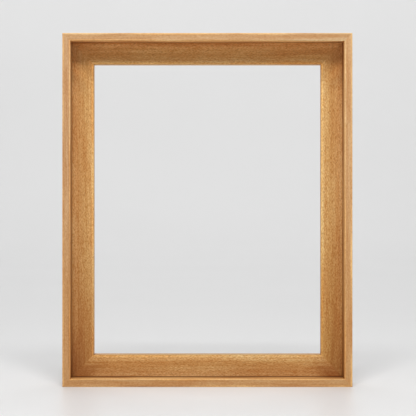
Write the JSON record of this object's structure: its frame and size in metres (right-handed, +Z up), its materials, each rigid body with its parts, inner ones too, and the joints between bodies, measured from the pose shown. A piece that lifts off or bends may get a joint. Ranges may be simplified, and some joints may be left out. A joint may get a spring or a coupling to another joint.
{
  "type": "floating frame",
  "caption": "Rectangular mitred beech floating frame: a slim face, an open shadow recess and a wide picture shelf, with swinging D-ring hangers on the back.",
  "frame": {"origin": "centre of the bottom rail's underside, half-way through the moulding's depth", "axes": "+X to the right seen from the front, +Y from the front to the back (the wall side), +Z up"},
  "size_m": [0.273, 0.0401, 0.333],
  "materials": {
    "beech": "steamed beech, sanded and oiled to a satin finish",
    "nail_steel": "bright hardened steel strip",
    "strap_zinc": "pressed steel, zinc plated",
    "ring_zinc": "bent steel wire, zinc plated",
    "screw_zinc": "steel screw, zinc plated",
    "rubber": "moulded black rubber, self-adhesive"
  },
  "bodies": {
    "frame": {"rail_bottom": "beech", "rail_top": "beech", "rail_left": "beech", "rail_right": "beech", "v_nail_bottom_left_1": "nail_steel", "v_nail_bottom_left_2": "nail_steel", "v_nail_bottom_left_3": "nail_steel", "v_nail_bottom_right_1": "nail_steel", "v_nail_bottom_right_2": "nail_steel", "v_nail_bottom_right_3": "nail_steel", "v_nail_top_left_1": "nail_steel", "v_nail_top_left_2": "nail_steel", "v_nail_top_left_3": "nail_steel", "v_nail_top_right_1": "nail_steel", "v_nail_top_right_2": "nail_steel", "v_nail_top_right_3": "nail_steel", "strap_left": "strap_zinc", "strap_right": "strap_zinc", "screw_left": "screw_zinc", "screw_right": "screw_zinc", "bumper_left": "rubber", "bumper_right": "rubber"},
    "left_d_ring": {"ring_left": "ring_zinc"},
    "right_d_ring": {"ring_right": "ring_zinc"}
  },
  "joints": [
    {"name": "left_ring_swing", "type": "hinge", "parent": "frame", "child": "left_d_ring", "pos_m": [-0.1225, 0.0202, 0.249], "axis": [1, 0, 0], "range_deg": [0, 180]},
    {"name": "right_ring_swing", "type": "hinge", "parent": "frame", "child": "right_d_ring", "pos_m": [0.1225, 0.0202, 0.249], "axis": [1, 0, 0], "range_deg": [0, 180]}
  ]
}
